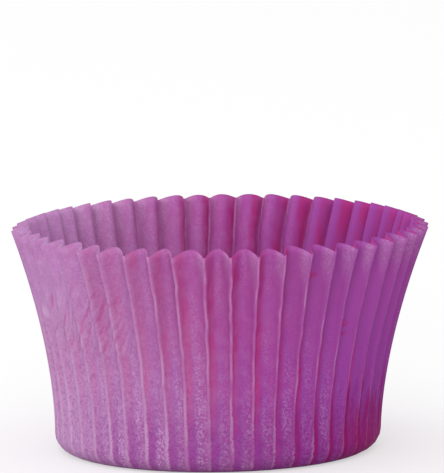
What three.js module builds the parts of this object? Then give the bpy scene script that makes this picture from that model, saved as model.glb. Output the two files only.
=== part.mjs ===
// A cupcake liner: one round sheet of purple greaseproof paper, pressed into a cup with a flat floor and a
// pleated wall. The model is in millimetres with +Z up, and its origin is on the table, under the middle
// of the rim.
import * as THREE from "three";

// Driving dimensions, in millimetres.
const floorDiameter = 50; // across the wall where it stands up from the bottom corner
const rimDiameter = 63.8; // across the pleats' crests at the rim
const crestHeight = 34; // from the table to the sheet's edge on a crest
const cornerRadius = 2.8; // of the bend from the floor into the wall
const sheetThickness = 0.06;
const crestWidth = 0.45; // of the narrow strip that runs along the outside of each pleat
const rimPleatDepth = 2.7; // from crest to trough, square to the wall, at the rim
const rimLean = 0.8; // how far the rim stands off the floor's middle, to the right

// Driving numbers and angles.
const pleatCount = 48;
const flarePower = 1.7; // 1 is a straight cone, and more keeps the flare for the rim
const depthPower = 1.45; // how the pleats fade towards the floor
const rimTroughPower = 0.75; // 1 is a plain sine arch, and less makes a trough's middle flatter
const footTroughPower = 0.35; // the same at the floor, where the troughs are flat and the crests thin ribs
const troughPowerRise = 4; // how late on its way up a trough changes from the one to the other
const frontCrestDegrees = 2.5; // of the crest nearest the front, at the rim, to the right of straight ahead
const twistDegrees = 2.2; // how far a pleat turns to the right on its way down

// How finely the sheet is faceted.
const troughFacets = 6; // across one trough, from crest to crest
const cornerFacets = 2;
const wallFacets = 5;

const paperColour = 0x9d4a92;

// Half of a wall's section, as seen on a crest: the floor's edge, the corner's bend and the flared wall.
// Each point has its radius, its height and its slope, which is the angle of the sheet from the floor.
function crestSection() {
  const floorRadius = floorDiameter / 2;
  const flare = (rimDiameter - floorDiameter) / 2;
  const points = [];
  for (let i = 0; i < cornerFacets; i++) {
    const slope = ((Math.PI / 2) * i) / cornerFacets;
    points.push({
      radius: floorRadius - cornerRadius * (1 - Math.sin(slope)),
      height: cornerRadius * (1 - Math.cos(slope)),
      slope,
    });
  }
  for (let i = 0; i <= wallFacets; i++) {
    const rise = i / wallFacets;
    const lean = Math.atan((flare * flarePower * rise ** (flarePower - 1)) / (crestHeight - cornerRadius));
    points.push({
      radius: floorRadius + flare * rise ** flarePower,
      height: cornerRadius + (crestHeight - cornerRadius) * rise,
      slope: Math.PI / 2 - lean,
    });
  }
  return points;
}

// How far each point of the section is along the sheet, as a share of the way from the floor's edge to
// the rim.
function sharesAlong(section) {
  const lengths = [0];
  for (let i = 1; i < section.length; i++) {
    const across = section[i].radius - section[i - 1].radius;
    const up = section[i].height - section[i - 1].height;
    lengths.push(lengths[i - 1] + Math.hypot(across, up));
  }
  return lengths.map((length) => length / lengths[lengths.length - 1]);
}

// One turn of the sheet at a point of the section. Each trough is a round arch that bows inwards from one
// crest to the next, square to the wall, so its edge stands higher at the rim than a crest's does.
function pleatedRing({ radius, height, slope }, share) {
  const depth = rimPleatDepth * share ** depthPower;
  const troughPower = footTroughPower + (rimTroughPower - footTroughPower) * share ** troughPowerRise;
  const rise = height / crestHeight;
  const turn = THREE.MathUtils.degToRad(frontCrestDegrees + twistDegrees * (1 - rise));
  const pitch = (2 * Math.PI) / pleatCount;
  const crest = crestWidth / radius;
  const shift = rimLean * (rise - 1);
  const ring = [];
  for (let pleat = 0; pleat < pleatCount; pleat++) {
    for (let i = 0; i <= troughFacets; i++) {
      const across = i / troughFacets;
      const bow = depth * Math.max(0, Math.sin(Math.PI * across)) ** troughPower;
      const angle = turn + pitch * pleat + crest / 2 + (pitch - crest) * across;
      const reach = radius - bow * Math.sin(slope);
      ring.push(
        new THREE.Vector3(
          shift + reach * Math.sin(angle),
          -reach * Math.cos(angle),
          height + bow * Math.cos(slope),
        ),
      );
    }
  }
  return ring;
}

// The triangles of one skin of the cup: a fan over the floor from vertex 0, and bands from ring to ring.
function skinFaces(ringCount, ringSize) {
  const at = (ring, i) => 1 + ring * ringSize + (i % ringSize);
  const faces = [];
  for (let i = 0; i < ringSize; i++) {
    faces.push([0, at(0, i + 1), at(0, i)]);
    for (let ring = 1; ring < ringCount; ring++) {
      faces.push([at(ring - 1, i), at(ring - 1, i + 1), at(ring, i + 1)]);
      faces.push([at(ring - 1, i), at(ring, i + 1), at(ring, i)]);
    }
  }
  return faces;
}

// The same skin one sheet's thickness further in. On a crest, where facets meet sharply, a point moves
// further than the thickness, so that the sheet is as thick on both sides of the fold.
function movedIn(points, faces) {
  const facing = faces.map(([a, b, c]) => {
    const triangle = new THREE.Triangle(points[a], points[b], points[c]);
    return triangle.getNormal(new THREE.Vector3());
  });
  const outward = points.map(() => new THREE.Vector3());
  faces.forEach((face, f) => face.forEach((v) => outward[v].add(facing[f])));
  outward.forEach((direction) => direction.normalize());
  const squareness = points.map(() => ({ sum: 0, count: 0 }));
  faces.forEach((face, f) =>
    face.forEach((v) => {
      squareness[v].sum += outward[v].dot(facing[f]);
      squareness[v].count += 1;
    }),
  );
  return points.map((point, v) => {
    const step = (sheetThickness * squareness[v].count) / squareness[v].sum;
    return point.clone().addScaledVector(outward[v], -step);
  });
}

// The whole sheet as one closed body: the outer skin, the inner skin and the cut edge that joins them.
function pleatedCup() {
  const section = crestSection();
  const shares = sharesAlong(section);
  const rings = section.map((point, i) => pleatedRing(point, shares[i]));
  const ringSize = rings[0].length;
  const floorMiddle = new THREE.Vector3(-rimLean, 0, 0);
  const outer = [floorMiddle, ...rings.flat()];
  const outerFaces = skinFaces(rings.length, ringSize);
  const inner = movedIn(outer, outerFaces);
  const innerFaces = outerFaces.map(([a, b, c]) => [a, c, b].map((v) => v + outer.length));
  const edgeFaces = [];
  const firstOnEdge = outer.length - ringSize;
  for (let i = 0; i < ringSize; i++) {
    const a = firstOnEdge + i;
    const b = firstOnEdge + ((i + 1) % ringSize);
    edgeFaces.push([a, b, b + outer.length], [a, b + outer.length, a + outer.length]);
  }
  const cup = new THREE.BufferGeometry().setFromPoints([...outer, ...inner]);
  cup.setIndex([...outerFaces, ...innerFaces, ...edgeFaces].flat());
  cup.computeVertexNormals();
  return cup;
}

const paper = new THREE.MeshStandardMaterial({
  color: paperColour,
  roughness: 0.5,
  metalness: 0,
  side: THREE.DoubleSide,
});

const liner = new THREE.Mesh(pleatedCup(), paper);
liner.name = "pleated_liner";

const part = new THREE.Group();
part.name = "cupcake_liner";
part.add(liner);

export default part;
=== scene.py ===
import math
from functools import partial, reduce

import bpy
from mathutils import Matrix, Vector


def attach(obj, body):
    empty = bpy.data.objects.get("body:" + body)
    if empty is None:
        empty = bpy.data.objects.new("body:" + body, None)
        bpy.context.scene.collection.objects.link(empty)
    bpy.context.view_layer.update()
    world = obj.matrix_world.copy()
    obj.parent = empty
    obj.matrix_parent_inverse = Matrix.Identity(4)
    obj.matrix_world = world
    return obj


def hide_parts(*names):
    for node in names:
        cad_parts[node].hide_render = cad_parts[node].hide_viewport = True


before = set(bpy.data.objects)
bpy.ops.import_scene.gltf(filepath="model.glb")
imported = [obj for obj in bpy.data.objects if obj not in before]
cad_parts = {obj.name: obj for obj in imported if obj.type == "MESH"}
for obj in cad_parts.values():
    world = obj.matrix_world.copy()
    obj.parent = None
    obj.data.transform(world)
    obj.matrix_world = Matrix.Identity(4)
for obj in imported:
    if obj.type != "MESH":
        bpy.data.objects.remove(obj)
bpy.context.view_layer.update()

# The liner. The real one is a single disc of greaseproof paper, pressed between ribbed dies into a cup: a
# flat floor, a round bottom corner and a wall that flares and is folded into pleats all the way round. The
# pleats take up the disc's spare edge, so they are deepest at the rim and fade at the floor.
MM = 0.001
FLOOR_DIAMETER = 50 * MM
RIM_DIAMETER = 63.8 * MM
CREST_HEIGHT = 34 * MM
CORNER_RADIUS = 2.8 * MM
SHEET_THICKNESS = 0.06 * MM
CREST_WIDTH = 0.42 * MM
NARROWING_RADIUS = 20 * MM  # nearer the floor's middle than this, a crest narrows with its pleat
RIM_PLEAT_DEPTH = 2.6 * MM
RIM_LEAN = 0.8 * MM
PLEATS = 48
FRONT_CREST = math.radians(2.5)
TWIST = math.radians(2.2)
FLARE_POWER = 1.7
DEPTH_POWER = 1.45
FOOT_TROUGH_POWER = 0.35
RIM_TROUGH_POWER = 0.75
TROUGH_POWER_RISE = 4

# How finely the sheet is faceted.
COLUMNS_A_PLEAT = 22
FLOOR_ROWS = 3
CORNER_ROWS = 5
WALL_ROWS = 34

# Places where the pleats were pressed flatter, and where the sheet has buckled. Each is the four edges of
# a zone in radians round from the front, and four in shares of the way up the sheet from floor to rim.
FLAT_RIGHT = (0.65, 0.95, 1.5, 1.9), (0.15, 0.4, 0.75, 0.97)
FLAT_LEFT = (4.75, 4.95, 5.35, 5.6), (0.5, 0.7, 0.9, 0.98)
BUCKLED = (4.9, 5.2, 5.7, 5.9), (0.4, 0.55, 0.75, 0.85)
BUCKLE_HEIGHT = 0.2 * MM


def new_node(kind, *inputs, **settings):
    """A node in the tree of its first socket. Its inputs are joined or set in order, and None is left out."""
    tree = next(value for value in inputs if isinstance(value, bpy.types.NodeSocket)).node.id_data
    node = tree.nodes.new(kind)
    for name, setting in settings.items():
        setattr(node, name, setting)
    for socket, value in zip(node.inputs, inputs):
        if isinstance(value, bpy.types.NodeSocket):
            tree.links.new(value, socket)
        elif value is not None:
            socket.default_value = value
    return node


def calculate(operation, *inputs):
    """Maths on sockets and plain numbers, from left to right where there are more than two."""
    def step_of_it(*pair):
        return new_node("ShaderNodeMath", *pair, operation=operation).outputs[0]

    return reduce(step_of_it, inputs) if len(inputs) > 1 else step_of_it(*inputs)


add = partial(calculate, "ADD")
subtract = partial(calculate, "SUBTRACT")
multiply = partial(calculate, "MULTIPLY")
divide = partial(calculate, "DIVIDE")
power = partial(calculate, "POWER")


def rise_over(value, start, end, kind="SMOOTHSTEP"):
    """0 up to start, 1 from end on and a rise between them, also where end is the lower of the two."""
    low_end, high_end = min(start, end), max(start, end)
    at_low, at_high = (0, 1) if start < end else (1, 0)
    node = new_node("ShaderNodeMapRange", value, low_end, high_end, at_low, at_high, interpolation_type=kind)
    return node.outputs["Result"]


part_way = partial(rise_over, kind="LINEAR")


def zone(value, start, full, fading, end):
    """1 from full to fading, 0 before start and after end, and smooth in between."""
    return multiply(rise_over(value, start, full), rise_over(value, end, fading))


def noise_at(place, scale, detail, distortion=0):
    noise = new_node("ShaderNodeTexNoise", place)
    noise.inputs["Scale"].default_value = scale
    noise.inputs["Detail"].default_value = detail
    noise.inputs["Distortion"].default_value = distortion
    return noise.outputs[0]


NOISE_MIDDLE = 0.5
NOISE_REACH = 0.25  # how far from its middle the noise mostly goes
SEED_SPACING = 17.3  # between one seed's layer of the noise and the next one's


def chance(across, up, size_across, size_up, seed, spread):
    """Smooth noise over the sheet, from about -spread to spread. Its blobs have the given size."""
    across, up = divide(across, size_across), divide(up, size_up)
    place = new_node("ShaderNodeCombineXYZ", across, up, SEED_SPACING * seed).outputs[0]
    noise = noise_at(place, scale=1, detail=1)
    return multiply(subtract(noise, NOISE_MIDDLE), spread / NOISE_REACH)


def buckle_folds(around, height_mm):
    """Noise in short slanting strokes over the sheet, from about -1 to 1."""
    mm_a_pleat, slant = 3.8, 0.45
    round_mm = multiply(around, mm_a_pleat)
    over = subtract(round_mm, multiply(height_mm, slant))
    along = add(height_mm, multiply(round_mm, slant))
    return chance(over, along, size_across=0.55, size_up=6, seed=6, spread=1)


def per_pleat(pleat, seed, spread):
    """A number for each pleat, from -spread to spread."""
    tree = pleat.node.id_data
    draw = tree.nodes.new("FunctionNodeRandomValue")
    draw.data_type = "FLOAT"
    tree.links.new(calculate("ROUND", pleat), draw.inputs["ID"])
    draw.inputs["Seed"].default_value = seed
    return multiply(subtract(draw.outputs[1], 0.5), 2 * spread)


def crest_shift(crest, rise, height_mm):
    """How far a fold is off its even place, in pleats: shifted, slanted, and wandering on its way up."""
    strip_spacing = 9.7  # each crest reads a strip of the noise of its own
    own_strip = multiply(crest, strip_spacing)
    return add(
        per_pleat(crest, seed=3, spread=0.05),
        multiply(per_pleat(crest, seed=5, spread=0.07), subtract(rise, 0.5)),
        chance(own_strip, height_mm, size_across=1, size_up=5, seed=2, spread=0.035),
        chance(own_strip, height_mm, size_across=1, size_up=2.2, seed=4, spread=0.02),
    )


def pressed_sheet_tree():
    tree = bpy.data.node_groups.new("pressed_sheet", "GeometryNodeTree")
    sizes = {
        "Floor radius": FLOOR_DIAMETER / 2,
        "Rim radius": RIM_DIAMETER / 2,
        "Crest height": CREST_HEIGHT,
        "Corner radius": CORNER_RADIUS,
        "Crest width": CREST_WIDTH,
        "Rim pleat depth": RIM_PLEAT_DEPTH,
        "Rim lean": RIM_LEAN,
        "Front crest angle": FRONT_CREST,
        "Twist": TWIST,
    }
    for name in sizes:
        tree.interface.new_socket(name=name, in_out="INPUT", socket_type="NodeSocketFloat")
    tree.interface.new_socket(name="Sheet", in_out="OUTPUT", socket_type="NodeSocketGeometry")
    given = tree.nodes.new("NodeGroupInput").outputs

    # The flat grid: one column for each step round the cup, and rows from the floor's middle to the rim.
    rows = FLOOR_ROWS + CORNER_ROWS + WALL_ROWS
    grid = tree.nodes.new("GeometryNodeMeshGrid")
    grid.inputs["Size X"].default_value = 1
    grid.inputs["Size Y"].default_value = 1
    grid.inputs["Vertices X"].default_value = PLEATS * COLUMNS_A_PLEAT + 1
    grid.inputs["Vertices Y"].default_value = rows + 1
    on_grid = tree.nodes.new("GeometryNodeInputPosition").outputs[0]
    grid_x, grid_y = new_node("ShaderNodeSeparateXYZ", on_grid).outputs[:2]
    around = multiply(add(grid_x, 0.5), PLEATS)
    row = add(grid_y, 0.5)

    # The section, as seen on a crest: the flat floor, the round corner and the flared wall.
    floor_end = FLOOR_ROWS / rows
    corner_end = (FLOOR_ROWS + CORNER_ROWS) / rows
    on_floor = part_way(row, 0, floor_end)
    on_corner = part_way(row, floor_end, corner_end)
    on_wall = part_way(row, corner_end, 1)
    bend = multiply(on_corner, math.pi / 2)
    corner = given["Corner radius"]
    flat_radius = subtract(given["Floor radius"], corner)
    wall_height = subtract(given["Crest height"], corner)
    flare = subtract(given["Rim radius"], given["Floor radius"])
    radius = add(
        multiply(flat_radius, on_floor),
        multiply(corner, calculate("SINE", bend)),
        multiply(flare, power(on_wall, FLARE_POWER)),
    )
    corner_rise = multiply(corner, subtract(1, calculate("COSINE", bend)))
    height = add(corner_rise, multiply(wall_height, on_wall))
    height_mm = divide(height, MM)
    slope_out = multiply(divide(flare, wall_height), FLARE_POWER, power(on_wall, FLARE_POWER - 1))
    slope = subtract(bend, calculate("ARCTANGENT", slope_out))
    rise = divide(height, given["Crest height"])
    corner_length = multiply(corner, math.pi / 2)
    along = add(multiply(corner_length, on_corner), multiply(wall_height, on_wall))
    share = divide(along, add(corner_length, wall_height))

    # Round the cup: each crest is a narrow strip, one column wide on either side of its fold.
    pleat = calculate("FLOOR", around)
    fraction = subtract(around, pleat)
    this_crest = calculate("MODULO", pleat, PLEATS)
    next_crest = calculate("MODULO", add(pleat, 1), PLEATS)
    left = crest_shift(this_crest, rise, height_mm)
    right = add(crest_shift(next_crest, rise, height_mm), 1)
    column = 1 / COLUMNS_A_PLEAT
    across = part_way(fraction, column, 1 - column)
    over_strips = add(part_way(fraction, 0, column), part_way(fraction, 1 - column, 1))
    pitch = 2 * math.pi / PLEATS
    strip = divide(given["Crest width"], calculate("MAXIMUM", radius, NARROWING_RADIUS), pitch)
    trough = subtract(right, left, strip)
    place = add(left, multiply(strip, 0.5, over_strips), multiply(trough, across))
    turn = add(given["Front crest angle"], multiply(given["Twist"], subtract(1, rise)))
    angle = add(turn, multiply(add(pleat, place), pitch))

    # Each trough bows inwards, square to the wall. Its deepest line leans to one side by chance.
    trough_power = power(share, TROUGH_POWER_RISE)
    trough_power = add(multiply(trough_power, RIM_TROUGH_POWER - FOOT_TROUGH_POWER), FOOT_TROUGH_POWER)
    leaning = add(1, per_pleat(this_crest, seed=7, spread=0.22))
    arch = calculate("SINE", multiply(power(across, leaning), math.pi))
    arch = power(calculate("MAXIMUM", arch, 0), trough_power)
    flattened = add(
        multiply(zone(angle, *FLAT_RIGHT[0]), zone(share, *FLAT_RIGHT[1]), 0.5),
        multiply(zone(angle, *FLAT_LEFT[0]), zone(share, *FLAT_LEFT[1]), 0.75),
    )
    depth = multiply(
        given["Rim pleat depth"],
        power(share, DEPTH_POWER),
        add(1, per_pleat(this_crest, seed=9, spread=0.1)),
        subtract(1, flattened),
    )
    buckled = multiply(zone(angle, *BUCKLED[0]), zone(share, *BUCKLED[1]))
    folds = multiply(buckle_folds(around, height_mm), BUCKLE_HEIGHT, buckled)
    bow = add(multiply(depth, arch), folds)
    reach = subtract(radius, multiply(bow, calculate("SINE", slope)))
    on_cup = new_node(
        "ShaderNodeCombineXYZ",
        add(multiply(reach, calculate("SINE", angle)), multiply(given["Rim lean"], subtract(rise, 1))),
        multiply(reach, calculate("COSINE", angle), -1),
        add(height, multiply(bow, calculate("COSINE", slope))),
    )

    # Where a corner of a face lies on the flat sheet, in pleats round and in shares of the wall, is kept
    # for the finish. Then the grid takes its place on the cup, and its seam and its middle are closed.
    keep = new_node("GeometryNodeStoreNamedAttribute", grid.outputs["Mesh"])
    keep.data_type = "FLOAT2"
    keep.domain = "CORNER"
    keep.inputs["Name"].default_value = "sheet"
    on_sheet = new_node("ShaderNodeCombineXYZ", around, share).outputs[0]
    tree.links.new(on_sheet, keep.inputs["Value"])
    move = new_node("GeometryNodeSetPosition", keep.outputs[0], None, on_cup.outputs[0])
    close = new_node("GeometryNodeMergeByDistance", move.outputs[0])
    close.inputs["Distance"].default_value = 0.002 * MM
    smooth = new_node("GeometryNodeSetShadeSmooth", close.outputs[0])
    realize = new_node("GeometryNodeRealizeInstances", smooth.outputs[0])
    finish = new_node("GeometryNodeSetMaterial", realize.outputs[0])
    finish.name = "finish"
    new_node("NodeGroupOutput", finish.outputs[0])
    return tree, sizes


# The paper's finish: beaten fibre, dyed purple through and pressed smooth, with hardly any shine. The
# fibres show as mottling, the folds are rubbed pale on their crests, and heat and grease have left it
# reddish beside the crests, bluer in the troughs and burgundy low on the right. Painted light is part of
# its colour too: sheen on the left and on the left-facing side of each pleat, highlights on folds and a
# crease, a lift towards the rim and some shade at the foot.
def ink(red, green, blue):
    """A colour named in the 0 to 255 numbers of a colour picker, as the shader's linear colour."""
    parts = [c / 255 for c in (red, green, blue)]
    return tuple(c / 12.92 if c <= 0.04045 else ((c + 0.055) / 1.055) ** 2.4 for c in parts) + (1,)


PURPLE = ink(166, 65, 144)
RIM_LIFT_PURPLE = ink(192, 104, 178)
RED_PURPLE = ink(181, 55, 131)
BLUE_PURPLE = ink(144, 63, 158)
DARK_PURPLE = ink(128, 40, 124)
DEEP_PURPLE = ink(140, 56, 146)
BURGUNDY = ink(144, 26, 98)
SPOT_RED = ink(182, 34, 96)
# Pale rubbed fibre, also painted on as sheen and highlights where the light from the left falls.
FROST_AND_SHEEN = ink(207, 168, 208)

# Where the marks are, as the four edges of a zone in degrees round from the front, to the right, or in mm
# up. A spot is its degrees, its mm up and its size, where 1 is as wide and high as is said below. The
# painted highlight on a crease is its degrees, its mm up, its width in degrees and its height in mm.
CREST_STAIN_DEGREES = 14, 36, 85, 110
FOOT_STAIN_DEGREES = 38, 60, 95, 120
FRONT_FOOT_DEGREES = -62, -28, 5, 30
BUCKLED_DEGREES = -72, -60, -38, -26
BUCKLED_HEIGHTS = 16, 20, 26, 29
RED_SPOTS = (43.5, 22, 1), (44, 20.4, 0.7), (28.5, 30.2, 1.2), (27, 15.4, 0.8)
RED_SPOT_DEGREES = 2.2
RED_SPOT_HEIGHT = 0.8
CREASE_HIGHLIGHT = -70, 22.8, 3, 1.4


def in_mm(where, stretch=1):
    """A place in metres as one in mm, for a pattern that is stretched that many times up the wall."""
    mapping = new_node("ShaderNodeMapping", where)
    mapping.inputs["Scale"].default_value = (1 / MM, 1 / MM, 1 / (MM * stretch))
    return mapping.outputs[0]


def grain(where, size, detail, edges, stretch=1):
    """Noise with blobs of a size in mm, as 0 below the first edge, 1 above the second, smooth between."""
    return rise_over(noise_at(in_mm(where, stretch), 1 / size, detail), *edges)


def fibres(where, size, width):
    """Pale worm-like fibres: 1 along the middle line of a noise's blobs, and 0 away from it."""
    noise = noise_at(in_mm(where), 1 / size, detail=1, distortion=0.6)
    return rise_over(calculate("ABSOLUTE", subtract(noise, NOISE_MIDDLE)), width, 0)


def amount(base, *shares):
    """A base amount, with a share of each mask added, or taken off where the share is negative."""
    return add(base, *(multiply(mask, share) for mask, share in shares))


def dye(under, mask, over):
    """The colour under, covered by the colour over as far as the mask says, from 0 to 1."""
    mix = new_node("ShaderNodeMix", mask, data_type="RGBA", clamp_factor=True)
    for socket, colour in zip(mix.inputs[6:8], (under, over)):
        if isinstance(colour, tuple):
            socket.default_value = colour
        else:
            colour.node.id_data.links.new(colour, socket)
    return mix.outputs[2]


def greaseproof_paper():
    material = bpy.data.materials.new("purple_greaseproof_paper")
    material.use_nodes = True
    tree = material.node_tree
    shader = tree.nodes["Principled BSDF"]

    # Where a point is: on the cup in mm and in degrees round from the front, and on the sheet in pleats
    # round and in shares of the wall.
    where = tree.nodes.new("ShaderNodeTexCoord").outputs["Object"]
    on_cup = new_node("ShaderNodeSeparateXYZ", where).outputs
    to_right, to_back, height = [divide(part, MM) for part in on_cup]
    facing = multiply(calculate("ARCTAN2", to_right, multiply(to_back, -1)), 180 / math.pi)
    sheet = tree.nodes.new("ShaderNodeUVMap")
    sheet.uv_map = "sheet"
    around, share = new_node("ShaderNodeSeparateXYZ", sheet.outputs[0]).outputs[:2]
    past_crest = calculate("FRACT", around)
    off_crest = calculate("PINGPONG", around, 0.5)

    # The places that have a finish of their own, from 0 to 1. Across a pleat they are in shares of it, and
    # otherwise in mm to the right or up.
    on_wall = rise_over(share, 0.004, 0.07)
    right_of_crest = multiply(on_wall, zone(past_crest, 0.02, 0.05, 0.24, 0.4))
    left_of_crest = multiply(on_wall, zone(past_crest, 0.36, 0.56, 0.9, 0.99))
    in_trough = multiply(on_wall, rise_over(off_crest, 0.12, 0.32))
    on_left = rise_over(add(to_right, multiply(height, 0.3)), 13, -22)
    far_left = rise_over(to_right, -19, -25)
    on_right = rise_over(to_right, -5, 22)
    far_right = rise_over(to_right, 12, 22)
    near_rim = rise_over(height, 24, 34)
    low_half = multiply(on_wall, rise_over(height, 24, 5))
    low_down = multiply(on_wall, rise_over(height, 14, 2))
    flat_lilac = multiply(far_left, rise_over(height, 20, 26))
    front_foot = multiply(zone(facing, *FRONT_FOOT_DEGREES), low_down)

    # The paper's own unevenness, from the finest to the widest, and then its streaks. Sizes are in mm.
    flecks = grain(where, size=0.32, detail=3, edges=(0.44, 0.62))
    specks = grain(where, size=0.45, detail=2, edges=(0.5, 0.64))
    worms = fibres(where, size=0.5, width=0.07)
    mottle = grain(where, size=0.9, detail=3, edges=(0.4, 0.64))
    wide_mottle = grain(where, size=1.8, detail=3, edges=(0.42, 0.6))
    patches = grain(where, size=3, detail=1, edges=(0.42, 0.6), stretch=3)
    clouds = grain(where, size=5, detail=2, edges=(0.38, 0.62))
    streaks = grain(where, size=1.6, detail=2, edges=(0.4, 0.62), stretch=6)
    tall_streaks = grain(where, size=1.1, detail=2, edges=(0.45, 0.6), stretch=12)

    # It is bluer in the troughs and towards both sides, and paler towards the rim, which is painted light
    # that makes up for the shade of the flared wall and deep pleats there. It is redder in a band beside each
    # crest. High on the far left, where the wall is flat, it is a bluer lilac.
    blue = multiply(in_trough, amount(0, (low_half, 0.35), (mottle, 0.15), (clouds, 0.25)))
    colour = dye(PURPLE, blue, BLUE_PURPLE)
    colour = dye(colour, multiply(on_right, 0.65), BLUE_PURPLE)
    colour = dye(colour, multiply(on_left, 0.3), BLUE_PURPLE)
    painted_rim_lift = multiply(rise_over(height, 8, 32), amount(0.4, (on_right, -0.16)))
    colour = dye(colour, painted_rim_lift, RIM_LIFT_PURPLE)
    red = multiply(amount(0.4, (streaks, 0.5)), amount(1, (on_left, -0.4), (flat_lilac, -0.45)))
    colour = dye(colour, multiply(right_of_crest, red), RED_PURPLE)
    colour = dye(colour, multiply(flat_lilac, 0.3), BLUE_PURPLE)

    # The foot is darker in blotches, and more so away from the left: partly a grease stain, and partly
    # painted shade against the light the floor throws up at it.
    grease_and_shade = multiply(low_down, amount(0.55, (mottle, 0.4)), amount(1, (on_left, -0.5)))
    colour = dye(colour, grease_and_shade, DARK_PURPLE)

    # Burgundy streaks beside the crests on the right, and a burgundy stain over the foot there.
    ragged_height = add(height, multiply(subtract(tall_streaks, 0.5), -6))
    crest_stain = multiply(zone(facing, *CREST_STAIN_DEGREES), right_of_crest)
    crest_stain = multiply(crest_stain, rise_over(ragged_height, 16, 7))
    foot_stain = multiply(zone(facing, *FOOT_STAIN_DEGREES), on_wall)
    foot_stain = multiply(foot_stain, rise_over(ragged_height, 12.5, 4))
    colour = dye(colour, amount(0, (crest_stain, 0.8), (foot_stain, 0.8)), BURGUNDY)

    # Pale fibre speckle, painted as light where the paper faces the light from the left: near the rim in a
    # patch on the left side of each fold, which narrows downwards, in a wider band there lower down, and all
    # over the left of the cup. It also lies pale in the middle of the troughs.
    fibre_speckle = amount(0, (flecks, 0.58), (worms, 0.27))
    widening = amount(past_crest, (near_rim, 0.38))
    rim_patch = multiply(near_rim, left_of_crest, rise_over(widening, 1.02, 1.26))
    rim_patch = multiply(rim_patch, amount(0.15, (fibre_speckle, 0.35), (on_left, 0.25)))
    colour = dye(colour, rim_patch, FROST_AND_SHEEN)
    beside = multiply(left_of_crest, add(multiply(low_half, amount(0.15, (patches, 0.3))), 0.06))
    beside = multiply(beside, amount(1, (on_right, -0.2), (far_right, -0.7)))
    mid_trough = multiply(zone(past_crest, 0.3, 0.45, 0.6, 0.75), patches, subtract(1, on_right))
    colour = dye(colour, multiply(fibre_speckle, amount(beside, (mid_trough, 0.2), (on_left, 0.35))), FROST_AND_SHEEN)
    colour = dye(colour, multiply(wide_mottle, subtract(1, on_right), 0.07), FROST_AND_SHEEN)
    # Painted sheen: the left of the cup, which faces the left lamp, is painted paler, more so on the far left
    # below the top, and less over the front of the foot.
    pale = multiply(on_left, amount(0.42, (mottle, 0.1)), amount(1, (front_foot, -0.5)))
    palest = multiply(far_left, rise_over(height, 30, 20))
    colour = dye(colour, amount(pale, (palest, 0.12)), FROST_AND_SHEEN)

    # At the front the foot is deep purple beside each fold, and dark specks lie over the left and the foot.
    beside_fold = zone(past_crest, 0.03, 0.1, 0.3, 0.6)
    colour = dye(colour, multiply(front_foot, beside_fold, 0.5), DEEP_PURPLE)
    dark = multiply(specks, amount(0, (on_left, 0.2), (low_half, 0.2)), amount(1, (flat_lilac, -0.7)))
    colour = dye(colour, dark, DARK_PURPLE)

    # The rubbed line on each fold: wider and paler on the left, where it is partly a painted highlight from
    # the light on that side, ragged at the foot, dotted on the right, and gone where the left is flat.
    ragged = multiply(subtract(flecks, 0.5), amount(0.015, (low_down, 0.06)))
    off_line = divide(add(off_crest, ragged), amount(1, (on_left, 0.9)))
    fold_line = multiply(on_wall, rise_over(off_line, 0.046, 0.016), subtract(1, flat_lilac))
    low_left, dots = multiply(on_left, low_half), multiply(on_right, flecks)
    paleness = amount(0.05, (streaks, 0.24), (low_left, 0.35), (dots, 0.2))
    colour = dye(colour, multiply(fold_line, paleness, amount(1, (far_right, -0.6))), FROST_AND_SHEEN)

    # The short slanting folds high on the left: a painted highlight on their tops, and painted shade,
    # reddish, in their hollows.
    folds = buckle_folds(around, height)
    buckled = multiply(zone(facing, *BUCKLED_DEGREES), zone(height, *BUCKLED_HEIGHTS))
    colour = dye(colour, multiply(buckled, rise_over(folds, -0.2, -0.7), 0.3), FROST_AND_SHEEN)
    colour = dye(colour, multiply(buckled, rise_over(folds, 0.2, 0.7), 0.4), RED_PURPLE)

    def spot(degrees, up, wide, high):
        """1 in a small blot of a width in degrees and a height in mm, and 0 away from it."""
        sideways = divide(subtract(facing, degrees), wide)
        upwards = divide(subtract(height, up), high)
        edge = add(multiply(sideways, sideways), multiply(upwards, upwards), multiply(flecks, 0.5))
        return rise_over(edge, 1, 0.2)

    # A few small red spots, and a painted highlight on one crease on the left.
    for degrees, up, size in RED_SPOTS:
        red_spot = spot(degrees, up, RED_SPOT_DEGREES * size, RED_SPOT_HEIGHT * size)
        colour = dye(colour, multiply(red_spot, 0.5), SPOT_RED)
    colour = dye(colour, multiply(spot(*CREASE_HIGHLIGHT), 0.6), FROST_AND_SHEEN)
    tree.links.new(colour, shader.inputs["Base Color"])

    tree.links.new(amount(0.45, (mottle, 0.12)), shader.inputs["Roughness"])
    shader.inputs["Specular IOR Level"].default_value = 0.01
    bump = tree.nodes.new("ShaderNodeBump")
    bump.inputs["Strength"].default_value = 0.35
    bump.inputs["Distance"].default_value = 0.03 * MM
    tree.links.new(amount(0, (worms, 0.5), (mottle, 0.5)), bump.inputs["Height"])
    tree.links.new(bump.outputs[0], shader.inputs["Normal"])
    return material


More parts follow.
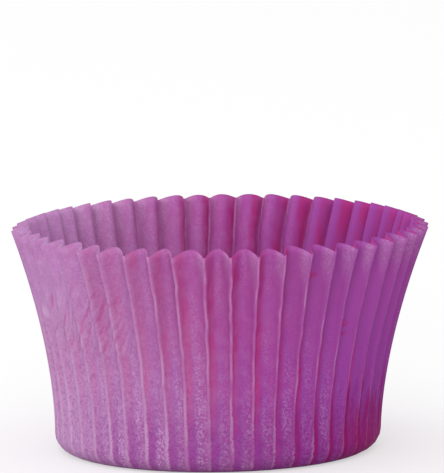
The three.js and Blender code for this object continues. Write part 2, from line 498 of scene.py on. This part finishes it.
tree, sizes = pressed_sheet_tree()
tree.nodes["finish"].inputs["Material"].default_value = greaseproof_paper()
maker = bpy.data.objects.new("liner_maker", bpy.data.meshes.new("liner_maker"))
bpy.context.scene.collection.objects.link(maker)
press = maker.modifiers.new("press", "NODES")
press.node_group = tree
for item in tree.interface.items_tree:
    if item.in_out == "INPUT":
        press[item.identifier] = sizes[item.name]
wall = maker.modifiers.new("thickness", "SOLIDIFY")
wall.thickness = SHEET_THICKNESS
wall.offset = -1
wall.use_even_offset = True
wall.use_quality_normals = True
bpy.context.view_layer.update()
evaluated = maker.evaluated_get(bpy.context.evaluated_depsgraph_get())
liner_mesh = bpy.data.meshes.new_from_object(evaluated)
bpy.data.objects.remove(maker)
liner = bpy.data.objects.new("paper_liner", liner_mesh)
bpy.context.scene.collection.objects.link(liner)
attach(liner, "root")
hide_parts("pleated_liner")

# The floor is a plain sheet of grey card that runs past the picture on all sides. Seen directly it is
# lifted to white, so that it looks white, still takes a soft shadow, and throws less light up at the liner
# than white card would.
CARD_SIDE = 6.0
CARD_GREY = 0.5
CARD_LIFT = 0.49
half = CARD_SIDE / 2
floor_mesh = bpy.data.meshes.new("floor")
card_corners = [(-half, -half, 0), (half, -half, 0), (half, half, 0), (-half, half, 0)]
floor_mesh.from_pydata(card_corners, [], [(0, 1, 2, 3)])
floor = bpy.data.objects.new("floor", floor_mesh)
bpy.context.scene.collection.objects.link(floor)


def seen_directly(tree):
    """1 for what the camera sees straight, in gloss or through a clear thing, and 0 for soft light."""
    path = tree.nodes.new("ShaderNodeLightPath").outputs
    return calculate("MAXIMUM", path["Is Camera Ray"], path["Is Glossy Ray"], path["Is Transmission Ray"])


card = bpy.data.materials.new("card")
card.use_nodes = True
matt = card.node_tree.nodes["Principled BSDF"]
matt.inputs["Base Color"].default_value = (CARD_GREY, CARD_GREY, CARD_GREY, 1)
matt.inputs["Roughness"].default_value = 1
matt.inputs["Specular IOR Level"].default_value = 0
matt.inputs["Emission Color"].default_value = (1, 1, 1, 1)
glow = multiply(seen_directly(card.node_tree), CARD_LIFT)
card.node_tree.links.new(glow, matt.inputs["Emission Strength"])
floor_mesh.materials.append(card)

# The light is a studio's: an even white room, which the camera sees a little brighter than the liner does,
# a large soft lamp low in front, and a weaker one on the left, which lightens that side of the paper.
scene = bpy.context.scene
scene.view_settings.view_transform = "Standard"
ROOM_LIGHT = 0.92
room = bpy.data.worlds.new("room")
scene.world = room
room.use_nodes = True
walls = room.node_tree.nodes["Background"]
walls.inputs["Color"].default_value = (1, 1, 1, 1)
brightness = add(multiply(seen_directly(room.node_tree), 1 - ROOM_LIGHT), ROOM_LIGHT)
room.node_tree.links.new(brightness, walls.inputs["Strength"])


def soft_lamp(name, turn, lift, distance, side, watts):
    """A square lamp aimed at the liner, turned to the right of the camera and lifted, in degrees."""
    turn, lift = math.radians(turn), math.radians(lift)
    level = distance * math.cos(lift)
    place = Vector((level * math.sin(turn), -level * math.cos(turn), distance * math.sin(lift)))
    lamp = bpy.data.lights.new(name, "AREA")
    lamp.shape = "SQUARE"
    lamp.size = side
    lamp.energy = watts
    holder = bpy.data.objects.new(name, lamp)
    holder.location = place
    holder.rotation_euler = (-place).to_track_quat("-Z", "Y").to_euler()
    scene.collection.objects.link(holder)


soft_lamp("front_lamp", turn=-6, lift=8, distance=1.4, side=0.8, watts=10)
soft_lamp("left_lamp", turn=-100, lift=18, distance=1.2, side=0.9, watts=3)

# The camera stands in front of the liner, a little above it, as far off as a portrait lens would be.
PICTURE_WIDE = 444
PICTURE_HIGH = 473
LOOK_DOWN = math.radians(8.43)
ROLL = math.radians(-0.78)
DISTANCE = 1.118
PIXELS_PER_MM = 6.547
RIM_MIDDLE_PIXEL = (219.93, 227.13)
SENSOR_WIDTH = 36
FARTHEST_SEEN = 20
camera_data = bpy.data.cameras.new("camera")
camera = bpy.data.objects.new("camera", camera_data)
scene.collection.objects.link(camera)
scene.camera = camera
pixel = MM / PIXELS_PER_MM
camera_data.sensor_width = SENSOR_WIDTH
camera_data.lens = SENSOR_WIDTH * DISTANCE / (PICTURE_HIGH * pixel)
camera_data.clip_end = FARTHEST_SEEN
back = Vector((0, -math.cos(LOOK_DOWN), math.sin(LOOK_DOWN)))
right = Vector((1, 0, 0))
up = back.cross(right)
turned_right = math.cos(ROLL) * right + math.sin(ROLL) * up
turned_up = math.cos(ROLL) * up - math.sin(ROLL) * right
off_right = (PICTURE_WIDE / 2 - RIM_MIDDLE_PIXEL[0]) * pixel
off_up = (RIM_MIDDLE_PIXEL[1] - PICTURE_HIGH / 2) * pixel
aim = Vector((0, 0, CREST_HEIGHT)) + off_right * turned_right + off_up * turned_up
seen = Matrix((turned_right, turned_up, back)).transposed().to_4x4()
camera.matrix_world = Matrix.Translation(aim + back * DISTANCE) @ seen
